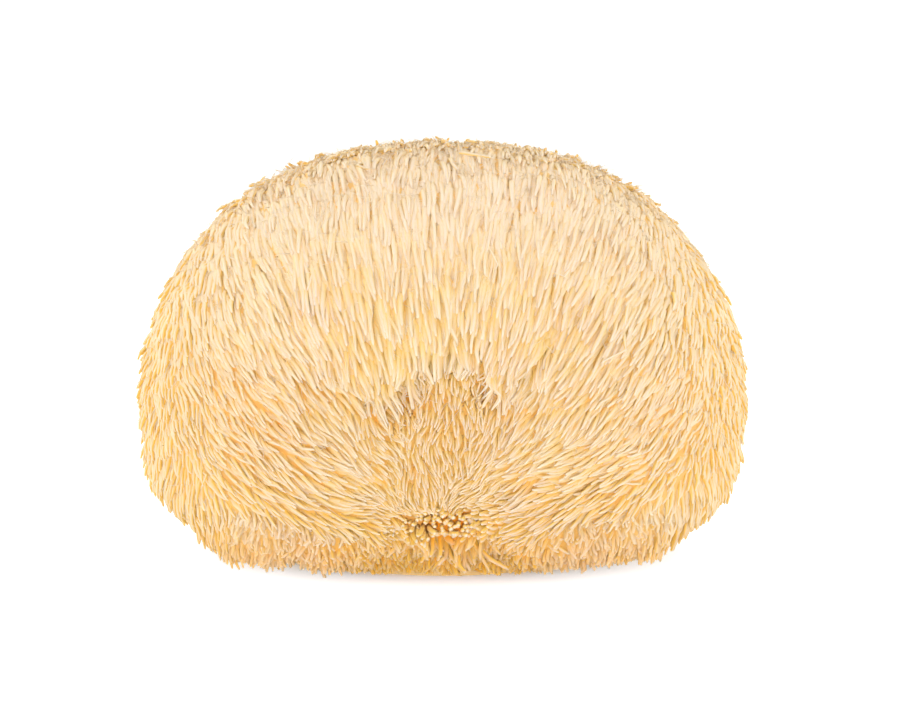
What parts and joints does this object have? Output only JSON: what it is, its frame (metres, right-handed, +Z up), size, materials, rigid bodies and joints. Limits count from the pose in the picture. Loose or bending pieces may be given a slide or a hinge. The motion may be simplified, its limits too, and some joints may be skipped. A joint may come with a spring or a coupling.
{
  "type": "lions mane mushroom",
  "caption": "Rounded, slightly flattened lion's mane mushroom covered in soft cream spines that comb to one low point at the front; flat oval cut underneath.",
  "frame": {"origin": "on the flat cut the mushroom rests on, under the middle of its box", "axes": "+X along the width, -Y towards the front where the spines run together, +Z up from the cut"},
  "size_m": [0.1518, 0.119, 0.1035],
  "materials": {
    "spines": null
  },
  "bodies": {
    "root": {"fruiting_body": "spines"}
  },
  "joints": []
}
